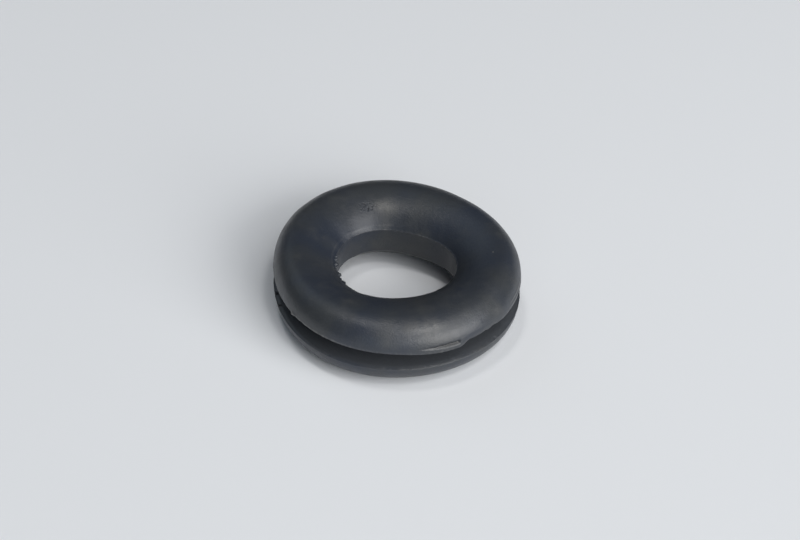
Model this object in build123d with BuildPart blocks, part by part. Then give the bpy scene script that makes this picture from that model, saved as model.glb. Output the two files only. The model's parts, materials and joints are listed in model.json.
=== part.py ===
from build123d import *
import math
import os

# A soft rubber grommet, moulded in one piece: a ring with two equal flanges and a groove between them.
# The edge of a panel hole sits in the groove, and a cable or rod passes through the bore.
# Millimetres. +Z is the bore's axis, and the origin is on its axis at the foot of the lower flange.

# overall sizes
outer_diameter = 28.0
thickness = 8.0

# the hole for the cable, and the groove for the panel
bore_diameter = 12.7
groove_diameter = 20.0
groove_width = 2.4

# the fall of each flange's face from its crown to the edge of the straight bore
crown_fall = 2.5

# the small rounds inside the groove, where it meets its floor
groove_floor_radius = 0.3

outer_radius = outer_diameter / 2
bore_radius = bore_diameter / 2
groove_radius = groove_diameter / 2
middle_height = thickness / 2
groove_top = middle_height + groove_width / 2
groove_bottom = middle_height - groove_width / 2

# Each flange's outer edge is a full quarter round, from the sharp lip of the groove up to the crown.
# From the crown inwards the face falls along a larger arc, and meets the bore at a blunt corner.
edge_radius = thickness - groove_top
crown_radius = outer_radius - edge_radius
crown_width = crown_radius - bore_radius
face_radius = (crown_width**2 + crown_fall**2) / (2 * crown_fall)
bore_top = thickness - crown_fall
face_turn = math.degrees(math.asin(crown_width / face_radius))

# Half of the section, from the middle of the bore up over the upper flange to the middle of the groove's
# floor. The lower half is its mirror image.
with BuildPart() as grommet:
    with BuildSketch(Plane.XZ) as section:
        with BuildLine():
            Line((bore_radius, middle_height), (bore_radius, bore_top))
            CenterArc((crown_radius, thickness - face_radius), face_radius, 90, face_turn)
            CenterArc((crown_radius, groove_top), edge_radius, 0, 90)
            Line((outer_radius, groove_top), (groove_radius, groove_top))
            Line((groove_radius, groove_top), (groove_radius, middle_height))
            Line((groove_radius, middle_height), (bore_radius, middle_height))
        make_face()
        groove_corner = section.vertices().sort_by_distance((groove_radius, groove_top, 0))[0]
        fillet(groove_corner, radius=groove_floor_radius)
        mirror(about=Plane.XZ.offset(-middle_height))
    revolve(axis=Axis.Z)

grommet.part.label = "grommet"

os.makedirs("parts", exist_ok=True)
export_step(grommet.part, "parts/grommet.step")
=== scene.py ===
import json
import math

import bpy
import numpy as np
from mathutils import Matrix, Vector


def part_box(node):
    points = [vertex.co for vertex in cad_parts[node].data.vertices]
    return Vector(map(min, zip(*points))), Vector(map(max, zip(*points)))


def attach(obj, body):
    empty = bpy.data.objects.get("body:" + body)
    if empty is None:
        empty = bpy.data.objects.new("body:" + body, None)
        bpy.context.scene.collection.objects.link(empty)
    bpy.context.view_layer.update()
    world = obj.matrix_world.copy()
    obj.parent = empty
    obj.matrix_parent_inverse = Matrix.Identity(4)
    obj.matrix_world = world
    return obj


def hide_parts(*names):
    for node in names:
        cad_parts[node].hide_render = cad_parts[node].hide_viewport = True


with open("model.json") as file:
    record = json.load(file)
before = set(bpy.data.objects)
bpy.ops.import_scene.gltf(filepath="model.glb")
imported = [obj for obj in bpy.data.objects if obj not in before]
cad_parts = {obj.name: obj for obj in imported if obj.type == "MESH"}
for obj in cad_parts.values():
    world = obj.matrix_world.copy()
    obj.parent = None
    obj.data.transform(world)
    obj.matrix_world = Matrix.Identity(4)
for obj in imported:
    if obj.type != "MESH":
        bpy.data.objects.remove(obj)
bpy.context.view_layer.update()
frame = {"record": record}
MM = 0.001


# The camera. It looks down at the ring lying on the table, from close by.
camera_elevation = math.radians(40.0)
camera_distance = 168.0 * MM
camera_lens = 66.6
aim_right = 0.68 * MM
aim_up = 3.54 * MM

up_the_view = np.array([0.0, math.sin(camera_elevation), math.cos(camera_elevation)])
towards_camera = np.array([0.0, -math.cos(camera_elevation), math.sin(camera_elevation)])
aim = np.array([aim_right, 0.0, 0.0]) + aim_up * up_the_view
camera_data = bpy.data.cameras.new("camera")
camera_data.lens = camera_lens
camera_data.sensor_width = 36.0
camera_data.clip_start = 0.005
camera = bpy.data.objects.new("camera", camera_data)
camera.location = towards_camera * camera_distance + aim
camera.rotation_euler = (math.pi / 2 - camera_elevation, 0.0, 0.0)
bpy.context.scene.collection.objects.link(camera)
bpy.context.scene.camera = camera


# The ring's section. It is one soft black rubber moulding: two flanges with rounded faces, a groove between
# them for the edge of a panel, and a short straight bore. The mould parts at the lips of the groove.
low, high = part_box("grommet")
bore_mount = next(mount for mount in frame["record"]["mounts"] if mount["name"] == "bore")
outer_radius = (high[0] - low[0]) / 2
thickness = high[2] - low[2]
bore_radius = bore_mount["dims"]["r_mm"] * MM
bore_wall = bore_mount["dims"]["length_mm"] * MM
groove_radius = 10.0 * MM
groove_width = 2.4 * MM
groove_corner = 0.3 * MM

middle = thickness / 2
lip_height = middle + groove_width / 2
edge_radius = thickness - lip_height
crown_radius = outer_radius - edge_radius
bore_top = middle + bore_wall / 2
crown_fall = thickness - bore_top
crown_width = crown_radius - bore_radius
face_radius = (crown_width**2 + crown_fall**2) / (2 * crown_fall)
face_turn = math.degrees(math.asin(crown_width / face_radius))


def straight(start, end, count, crowd=1.0):
    """Points on a straight line, without its end; a crowd above 1 draws them towards the end."""
    share = 1 - (1 - np.arange(count) / count) ** crowd
    return np.asarray(start) + share[:, None] * (np.asarray(end) - np.asarray(start))


def arc(centre, radius, start, end, count, crowd=1.0):
    """Points on an arc between two angles in degrees, without its end. A crowd above 1 draws them towards
    the end, and one below 0 by that much towards the start."""
    step = np.arange(count) / count
    share = step**-crowd if crowd < 0 else 1 - (1 - step) ** crowd
    angle = np.radians(start + share * (end - start))
    return np.asarray(centre) + radius * np.stack([np.cos(angle), np.sin(angle)], axis=1)


def half_section(face_count, edge_count, groove_count):
    """Radius and height from the middle of the bore up over a flange's face to the middle of the groove."""
    corner_radius = groove_radius + groove_corner
    corner_height = lip_height - groove_corner
    stretches = [
        straight((bore_radius, middle), (bore_radius, bore_top), 8, crowd=1.6),
        arc((crown_radius, thickness - face_radius), face_radius, 90 + face_turn, 90, face_count, crowd=-1.4),
        arc((crown_radius, lip_height), edge_radius, 90, 0, edge_count, crowd=1.8),
        straight((outer_radius, lip_height), (corner_radius, lip_height), groove_count),
        arc((corner_radius, corner_height), groove_corner, 90, 180, 4),
        straight((groove_radius, corner_height), (groove_radius, middle), 2),
    ]
    return np.concatenate(stretches)


upper = half_section(face_count=34, edge_count=50, groove_count=14)
lower = half_section(face_count=14, edge_count=26, groove_count=6) * (1, -1) + (0, thickness)
section = np.concatenate([upper, [[groove_radius, middle]], lower[:0:-1]])
section_radius = section[:, :1]
section_height = section[:, 1:]
step_lengths = np.hypot(*np.diff(section, axis=0).T)
along_section = np.concatenate([[0.0], np.cumsum(step_lengths)])[:, None]


def place_on_section(corner_radius, corner_height):
    """How far along the section its point nearest to the given corner lies."""
    return along_section[np.argmin(np.hypot(section[:, 0] - corner_radius, section[:, 1] - corner_height)), 0]


above_lip = place_on_section(outer_radius, lip_height) - along_section
past_crease = along_section - place_on_section(bore_radius, bore_top)
below_lower_lip = along_section - place_on_section(outer_radius, thickness - lip_height)
tangent = np.gradient(section, axis=0)
tangent = tangent / np.hypot(tangent[:, 0], tangent[:, 1])[:, None]
outward_radius = -tangent[:, 1:]
outward_height = tangent[:, :1]


def eased(value, start, end):
    """Nought before start, one after end, and a smooth rise between them."""
    share = np.clip((value - start) / (end - start), 0, 1)
    return share * share * (3 - 2 * share)


def stretch_of_turn(degrees, start, end, rise, fall):
    """One between two directions in degrees, nought outside: the product of a smooth rise of the given width
    after start and a smooth fall of the given width before end."""
    return eased(degrees, start, start + rise) * (1 - eased(degrees, end - fall, end))


# Directions round the ring, in degrees from +X towards +Y. They lie closer together along the torn lip and
# along the ragged side of the bore: equal steps of a running total of the wanted closeness.
around_count = 570
torn_lip_start = -92
torn_lip_end = -30
ragged_bore_from = 140

even_degrees = np.linspace(-180, 180, 7201)
lip_closeness = 1.5 * stretch_of_turn(even_degrees, torn_lip_start, torn_lip_end, 8, 8)
bore_closeness = 0.7 * eased(np.abs(even_degrees), ragged_bore_from, ragged_bore_from + 15)
closeness = 1 + lip_closeness + bore_closeness
running_total = np.cumsum(closeness)
running_total = (running_total - running_total[0]) / (running_total[-1] - running_total[0])
degrees = np.interp(np.arange(around_count) / around_count, running_total, even_degrees)[None, :]
degrees_on = degrees % 360
turn = np.radians(degrees)


# The set of the soft ring. It has lain about, so it is a little oval, more so at the bore, and the upper
# flange has lifted at one side and drooped at the other. A lobe is its number of bulges round the ring, its
# height as a share of the radius, and the direction of its first bulge in degrees.
outer_set = ((2, 0.051, -57.8), (3, 0.0204, -3.8))
bore_set = ((2, 0.083, -17.8), (3, 0.036, -1.1))
lower_share = 0.85
lift_along_x = 0.0165
lift_along_y = 0.0053
saddle_lift = 0.0199
settled_crown = 0.13 * MM


def lobes(set_of_lobes):
    """A share of the radius: the sum over the lobes of amount times cos(number x (turn - direction))."""
    return sum(
        amount * np.cos(number * (turn - math.radians(direction)))
        for number, amount, direction in set_of_lobes
    )


# The flaws of a cheap moulding, still on it: a tongue of rubber torn along the upper lip, crumbs of flash in
# the bore and on the lips, the fine lines where the mould's parts met, and small nicks.
chance = np.random.default_rng(28)


def ragged(fewest, most):
    """An uneven line round the ring, about -1 to 1: the sum of equal cosine waves, one of each whole number
    from fewest to most, at random starts, over the root of how many there are."""
    numbers = np.arange(fewest, most + 1)[:, None]
    starts = chance.uniform(0, 2 * math.pi, numbers.shape)
    return np.cos(numbers * turn + starts).sum(axis=0, keepdims=True) / math.sqrt(len(numbers))


def ridge(distance, half_width):
    """A bell across a line: one on it, falling as e to the minus square of distance over half_width."""
    return np.exp(-((distance / half_width) ** 2))


coarse = ragged(5, 22)
middling = ragged(30, 90)
fine = ragged(110, 260)


def uneven(level, middling_share, fine_share):
    """A level with the given shares of the middling and the fine raggedness added."""
    return level + middling_share * middling + fine_share * fine


# the tongue hangs from the lip and ends in a step, and behind it the lip is torn back in small bites
tongue_full = -66
tongue_step = -61.5
tongue_end = -57.5
tongue_drop = 0.27 * MM
tongue_reach = 0.09 * MM
torn_back_start = -59.5
torn_back_end = -35
torn_back_depth = 0.10 * MM
bites = uneven(0.14, 0.045, 0.02) * MM
lip_band_above = 1.0 * MM
lip_band_below = 1.5 * MM

tongue = eased(degrees, torn_lip_start, tongue_full) * (1 - eased(degrees, tongue_step, tongue_end))
torn_back = stretch_of_turn(degrees, torn_back_start, torn_back_end, 4, 9)
near_lip = (1 - eased(above_lip, 0.05 * MM, lip_band_above)) * eased(above_lip, -lip_band_below, 0)
lip_lift = near_lip * (torn_back * bites - tongue_drop * tongue)
lip_reach = near_lip * (tongue_reach * tongue - torn_back_depth * torn_back)

# the slit above the tongue, deeper and wider towards its open end
slit_start = -82
slit_end = -60.4
slit_height = (0.54 + 0.012 * middling) * MM
slit_share = stretch_of_turn(degrees, slit_start, slit_end, 17, 1.0)
slit_half_width = (0.06 + 0.05 * slit_share) * MM
slit = slit_share * ridge(above_lip - slit_height, slit_half_width)

# flash along the upper lip, with a crumb on its left and two small folds at its right
flash_start = 168
flash_end = 262
flash_height = 0.08 * MM
crumb_direction = 217
crumb_height = 0.1 * MM
folds_start = -32
folds_end = -9
lower_fold_height = 0.34 * MM
upper_fold_height = 0.82 * MM

flash_share = 0.25 + 0.75 * stretch_of_turn(degrees_on, flash_start, flash_end, 12, 30)
flash = flash_share * ridge(above_lip - flash_height, 0.15 * MM) * uneven(0.62, 0.25, 0.20)
crumb = ridge(degrees_on - crumb_direction, 1.3) * ridge(above_lip - crumb_height, 0.16 * MM)
both_folds = ridge(above_lip - lower_fold_height, 0.08 * MM) + ridge(above_lip - upper_fold_height, 0.09 * MM)
folds = stretch_of_turn(degrees, folds_start, folds_end, 8, 5) * both_folds

# the mould's fine lines at the bore's edge and a little above it, and the flash torn off at the left
crease_height = 0.02 * MM
second_height = (0.55 + 0.03 * coarse) * MM
second_start = 70
second_end = 215
bore_flash_start = 158
bore_flash_end = 214
bore_flash_depth = 0.12 * MM

crease_line = ridge(past_crease - crease_height, 0.05 * MM) * uneven(0.75, 0.2, 0.15)
second_line = ridge(past_crease - second_height, 0.08 * MM)
second_line = second_line * stretch_of_turn(degrees_on, second_start, second_end, 25, 20)
bore_flash = stretch_of_turn(degrees_on, bore_flash_start, bore_flash_end, 9, 5)
bore_flash = bore_flash * ridge(past_crease + bore_flash_depth, 0.20 * MM)
bore_flash = bore_flash * np.clip(0.5 + 0.45 * ragged(16, 48) + 0.4 * middling, 0, 1.5)

# nicks in both lips: two at the left and one at the right of the lower, and one at the right of the upper
left_nick = ridge(degrees_on - 188, 0.9)
second_left_nick = 0.7 * ridge(degrees_on - 197, 0.7)
right_nick = 0.6 * ridge(degrees_on - 352, 0.8)
lower_nicks = (left_nick + second_left_nick + right_nick) * ridge(below_lower_lip, 0.28 * MM)
upper_nicks = ridge(degrees_on - 349, 0.9) * ridge(above_lip, 0.25 * MM)
lower_flash = ridge(below_lower_lip, 0.07 * MM) * uneven(0.5, 0.3, 0.2)

# small pits and a glossy patch at the back of the inner slope, another glossy patch at the front, and the
# faint waves of a soft surface. The glossy patches are also painted paler grey: a painted highlight where the
# lamps' highlights fall
slope_radius = 8.5 * MM
pitted_direction = 110
back_highlight_patch_direction = 97
front_highlight_patch_direction = 286
front_highlight_patch_height = 2.5 * MM
wave_length = 1.9 * MM

on_slope = ridge(section_radius - slope_radius, 0.55 * MM) * (past_crease > 0) * (above_lip > 0)
pitted = on_slope * ridge(degrees_on - pitted_direction, 6)
on_inner_face = ridge(section_radius - slope_radius, 0.8 * MM) * (above_lip > 3 * MM)
on_outer_round = ridge(above_lip - front_highlight_patch_height, 0.8 * MM)
glossy_patch_painted_highlight = on_inner_face * ridge(degrees_on - back_highlight_patch_direction, 8)
glossy_patch_painted_highlight = glossy_patch_painted_highlight + on_outer_round * ridge(degrees_on - front_highlight_patch_direction, 8)
waves = coarse * np.cos(along_section / wave_length + 2 * turn) * eased(above_lip, 0, 1.5 * MM)

# how far each flaw stands proud of the section, in millimetres; slits and nicks go in
proud = MM * (
    0.055 * flash + 0.20 * crumb + 0.055 * folds + 0.035 * lower_flash
    + 0.06 * crease_line + 0.035 * second_line + 0.28 * bore_flash
    - 0.26 * slit - 0.22 * lower_nicks - 0.14 * upper_nicks + 0.014 * waves
)

# Every point of the section goes round the ring. The lobes stretch its radius, the lift raises its height,
# and it stays on or above the table.
outwards = np.clip((section_radius - bore_radius) / (outer_radius - bore_radius), 0, 1)
on_top = eased(section_height, thickness - lip_height, lip_height)
ring_share = lower_share + (1 - lower_share) * on_top
stretch = 1 + outwards * ring_share * lobes(outer_set) + (1 - outwards) * lobes(bore_set)
radius = (section_radius + outward_radius * proud + lip_reach) * stretch
x = radius * np.cos(turn)
y = radius * np.sin(turn)
reach = section_radius / outer_radius
lift = lift_along_x * x + lift_along_y * y + saddle_lift * outer_radius * reach**2 * np.sin(2 * turn)
lift = lift - settled_crown * eased(section_height, lip_height, thickness)
z = np.maximum(section_height + outward_height * proud + lip_lift + on_top * lift, 0)

points = np.stack([x, y, z], axis=-1)
section_count = len(section)
grid = np.arange(section_count * around_count).reshape(section_count, around_count)
onwards = np.roll(grid, -1, axis=0)
faces = np.stack([onwards, np.roll(onwards, -1, axis=1), np.roll(grid, -1, axis=1), grid], axis=-1)
mesh = bpy.data.meshes.new("moulded_ring")
mesh.from_pydata(points.reshape(-1, 3), [], faces.reshape(-1, 4))
mesh.polygons.foreach_set("use_smooth", np.ones(len(mesh.polygons), dtype=bool))
ring = bpy.data.objects.new("moulded_ring", mesh)
bpy.context.scene.collection.objects.link(ring)
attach(ring, "root")
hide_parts("grommet")


def write_mask(name, share):
    """Keep a mask on the mesh for the rubber's finish: one number a point, held between 0 and 1."""
    held = np.clip(np.broadcast_to(share, x.shape), 0, 1)
    mesh.attributes.new(name, "FLOAT", "POINT").data.foreach_set("value", held.ravel())


# the mould lines are painted pale; round 102 degrees they are painted paler still, a painted glint where the
# ridge catches the light
painted_glint_direction = 102
line_and_glint_share = 0.4 + 0.6 * ridge(degrees_on - painted_glint_direction, 13)
write_mask("worn", 0.9 * flash + 0.8 * crumb + 0.5 * folds + 0.1 * lower_flash)
write_mask("moulding_line_and_glint", crease_line * line_and_glint_share + 0.3 * second_line)
write_mask("ragged_flash", bore_flash)
write_mask("pitted", pitted)
# the glossy patches: less rough, and painted paler grey as a painted highlight
write_mask("glossy_patch_painted_highlight", glossy_patch_painted_highlight * (0.8 + 0.2 * middling))
# painted shade: the slit is painted black inside
write_mask("painted_slit_shade", slit)
# painted light: the groove between the lips, painted paler for the light that reaches its floor
write_mask("painted_groove_light", eased(-above_lip, 0, 0.3 * MM) * eased(-below_lower_lip, 0, 0.15 * MM))


# The rubber's finish: black rubber with a faint bluish cast, satin from the mould. It has a fine grain, a
# grey bloom in soft patches, pale worn lips, and a little dust. Painted into the colour are a painted
# highlight on two glossy patches, a painted glint on the mould line at the back, painted shade inside the
# slit and painted light on the groove's floor.
rubber = bpy.data.materials.new("black_rubber")
rubber.use_nodes = True
mesh.materials.append(rubber)
nodes = rubber.node_tree.nodes
links = rubber.node_tree.links
shader = nodes["Principled BSDF"]
places = nodes.new("ShaderNodeTexCoord").outputs["Object"]

fresh_black = (0.0220, 0.0275, 0.0400, 1)
greyed_black = (0.0310, 0.0345, 0.0390, 1)
bloom_grey = (0.0560, 0.0570, 0.0570, 1)
# painted highlight: paler grey for the glossy patches where the lamps' highlights fall
painted_highlight_grey = (0.0820, 0.0820, 0.0810, 1)
# pale grey of worn flash, also used for the mould lines and their painted glint
worn_and_glint_grey = (0.1700, 0.1700, 0.1700, 1)
crumb_grey = (0.0900, 0.0900, 0.0850, 1)
# painted light: a paler grey for the groove between the lips, standing for the light that reaches its floor
painted_groove_light_grey = (0.0700, 0.0760, 0.0850, 1)
# near black for the pits, and as painted shade inside the slit
pit_black_and_slit_shade = (0.0110, 0.0120, 0.0140, 1)
dust_pale = (0.2200, 0.2150, 0.2000, 1)


def noise(scale, detail=2.0, harshness=0.5):
    """Cloudy noise in the ring's own coordinates, with the given number of clouds to a metre."""
    node = nodes.new("ShaderNodeTexNoise")
    node.inputs["Scale"].default_value = scale
    node.inputs["Detail"].default_value = detail
    node.inputs["Roughness"].default_value = harshness
    links.new(places, node.inputs["Vector"])
    return node.outputs["Fac"]


def graded(value, low, high, start=0.0, end=1.0):
    """Start where the value is at low, end where it is at high, straight between and level outside."""
    node = nodes.new("ShaderNodeMapRange")
    node.inputs["From Min"].default_value = low
    node.inputs["From Max"].default_value = high
    node.inputs["To Min"].default_value = start
    node.inputs["To Max"].default_value = end
    links.new(value, node.inputs["Value"])
    return node.outputs["Result"]


def sum_or_product(operation, first, second):
    """The two values added or multiplied; the second may be a plain number."""
    node = nodes.new("ShaderNodeMath")
    node.operation = operation
    links.new(first, node.inputs[0])
    if isinstance(second, float):
        node.inputs[1].default_value = second
    else:
        links.new(second, node.inputs[1])
    return node.outputs[0]


def mask(name):
    """A mask that the mesh carries."""
    node = nodes.new("ShaderNodeAttribute")
    node.attribute_name = name
    return node.outputs["Fac"]


def tinted(under, colour, share):
    """The colour laid over what is under it by the given share."""
    node = nodes.new("ShaderNodeMix")
    node.data_type = "RGBA"
    if isinstance(under, tuple):
        node.inputs["A"].default_value = under
    else:
        links.new(under, node.inputs["A"])
    node.inputs["B"].default_value = colour
    links.new(share, node.inputs["Factor"])
    return node.outputs["Result"]


# how many clouds, or cells, of each pattern lie to a metre
patches_to_metre = 150
bloom_to_metre = 260
smears_to_metre = 620
specks_to_metre = 640
pit_groups_to_metre = 900
worn_to_metre = 2600
pits_to_metre = 2700
crumbs_to_metre = 3600
grain_to_metre = 5200

patches = noise(patches_to_metre, detail=3.0)
smears = noise(smears_to_metre, detail=5.0, harshness=0.65)
grain = noise(grain_to_metre, detail=3.0, harshness=0.6)
bloom_patches = graded(noise(bloom_to_metre, detail=4.0), 0.48, 0.72)
bloom = sum_or_product("MULTIPLY", bloom_patches, graded(smears, 0.40, 0.66))


def cells(to_metre):
    """Cells in the ring's own coordinates, with the given number of them to a metre."""
    node = nodes.new("ShaderNodeTexVoronoi")
    node.inputs["Scale"].default_value = to_metre
    links.new(places, node.inputs["Vector"])
    return node.outputs


pits = sum_or_product("MULTIPLY", graded(cells(pits_to_metre)["Distance"], 0.42, 0.16), mask("pitted"))
pits = sum_or_product("MULTIPLY", pits, graded(noise(pit_groups_to_metre), 0.30, 0.48))
specks = cells(specks_to_metre)
speck_choice = nodes.new("ShaderNodeSeparateColor")
links.new(specks["Color"], speck_choice.inputs["Color"])
few_specks = graded(speck_choice.outputs["Red"], 0.93, 0.95)
dust = sum_or_product("MULTIPLY", graded(specks["Distance"], 0.075, 0.03), few_specks)
worn_share = sum_or_product("MULTIPLY", mask("worn"), graded(noise(worn_to_metre, detail=3.0), 0.20, 0.55))
crumb_clouds = graded(noise(crumbs_to_metre, detail=2.0), 0.52, 0.66)
crumbs = sum_or_product("MULTIPLY", mask("ragged_flash"), crumb_clouds)
lines_and_glint = sum_or_product("MULTIPLY", mask("moulding_line_and_glint"), graded(smears, 0.30, 0.60))

colour = tinted(fresh_black, greyed_black, graded(patches, 0.36, 0.64))
colour = tinted(colour, bloom_grey, sum_or_product("MULTIPLY", bloom, 0.55))
# painted light: the groove between the lips painted paler
colour = tinted(colour, painted_groove_light_grey, sum_or_product("MULTIPLY", mask("painted_groove_light"), 0.85))
colour = tinted(colour, worn_and_glint_grey, sum_or_product("MULTIPLY", worn_share, 0.85))
# pale mould lines, with a painted glint where they are paler round 102 degrees
colour = tinted(colour, worn_and_glint_grey, sum_or_product("MULTIPLY", lines_and_glint, 0.5))
colour = tinted(colour, crumb_grey, sum_or_product("MULTIPLY", crumbs, 0.15))
# painted highlight: paler grey on the glossy patches where the lamps' highlights fall
colour = tinted(colour, painted_highlight_grey, sum_or_product("MULTIPLY", mask("glossy_patch_painted_highlight"), graded(smears, 0.30, 0.58)))
colour = tinted(colour, pit_black_and_slit_shade, sum_or_product("MULTIPLY", pits, 0.65))
# painted shade: the slit painted black inside
colour = tinted(colour, pit_black_and_slit_shade, mask("painted_slit_shade"))
colour = tinted(colour, dust_pale, sum_or_product("MULTIPLY", dust, 0.5))
links.new(colour, shader.inputs["Base Color"])

dulling = sum_or_product("ADD", graded(smears, 0.30, 0.70, 0.32, 0.44), graded(bloom, 0.0, 1.0, 0.0, 0.10))
dulling = sum_or_product("ADD", dulling, sum_or_product("MULTIPLY", mask("glossy_patch_painted_highlight"), -0.11))
links.new(sum_or_product("ADD", dulling, sum_or_product("MULTIPLY", pits, 0.35)), shader.inputs["Roughness"])

grain_depth = 0.06 * MM
grain_relief = sum_or_product("MULTIPLY", grain, 0.45)
smear_relief = sum_or_product("MULTIPLY", smears, 0.90)
pit_relief = sum_or_product("MULTIPLY", pits, -1.4)
relief = sum_or_product("ADD", sum_or_product("ADD", grain_relief, smear_relief), pit_relief)
texture = nodes.new("ShaderNodeBump")
texture.inputs["Strength"].default_value = 0.9
texture.inputs["Distance"].default_value = grain_depth
links.new(relief, texture.inputs["Height"])
links.new(texture.outputs["Normal"], shader.inputs["Normal"])


# The table: a plain pale sheet of matt paper, flat under the ring and 3 m across.
floor_half = 1.5
floor_mesh = bpy.data.meshes.new("table")
floor_corners = [(sign_x * floor_half, sign_y * floor_half, 0) for sign_y in (-1, 1) for sign_x in (-1, 1)]
floor_mesh.from_pydata(floor_corners, [], [(0, 1, 3, 2)])
table = bpy.data.objects.new("table", floor_mesh)
bpy.context.scene.collection.objects.link(table)
paper = bpy.data.materials.new("pale_paper")
paper.use_nodes = True
paper_shader = paper.node_tree.nodes["Principled BSDF"]
paper_shader.inputs["Base Color"].default_value = (0.715, 0.735, 0.765, 1)
paper_shader.inputs["Roughness"].default_value = 0.9
floor_mesh.materials.append(paper)


# The light: a broad soft window at the front right with a pale wall under it, two small ceiling lamps, and
# what the rest of the pale room gives back. The powers give about the plain level on the table.
def softbox(name, azimuth, elevation, distance, size, power, colour=(1, 1, 1)):
    """A square lamp that faces the object from the given direction, in degrees and metres."""
    lamp = bpy.data.lights.new(name, "AREA")
    lamp.size = size
    lamp.energy = power
    lamp.color = colour
    holder = bpy.data.objects.new(name, lamp)
    a, e = math.radians(azimuth), math.radians(elevation)
    holder.location = (
        distance * math.cos(e) * math.cos(a), distance * math.cos(e) * math.sin(a), distance * math.sin(e))
    holder.rotation_euler = (math.pi / 2 - e, 0.0, a + math.pi / 2)
    bpy.context.scene.collection.objects.link(holder)


softbox("window", -45, 48, 1.2, 1.2, 9.6)
softbox("wall_below_window", -45, 18, 1.2, 0.9, 13.0, colour=(1, 0.99, 0.97))
softbox("front_wall", -95, 18, 1.2, 0.9, 2.4, colour=(0.84, 0.92, 1))
softbox("back_wall", 135, 45, 1.2, 0.9, 1.2, colour=(0.75, 0.88, 1))
softbox("left_ceiling_lamp", 172, 82, 1.2, 0.16, 1.9, colour=(1, 0.98, 0.95))
softbox("right_ceiling_lamp", -50, 67, 1.2, 0.16, 1.6, colour=(1, 0.98, 0.95))
world = bpy.data.worlds.new("room")
world.use_nodes = True
room = world.node_tree.nodes["Background"]
room.inputs["Color"].default_value = (0.9, 0.95, 1.0, 1)
room.inputs["Strength"].default_value = 0.03
bpy.context.scene.world = world
bpy.context.scene.view_settings.view_transform = "Standard"
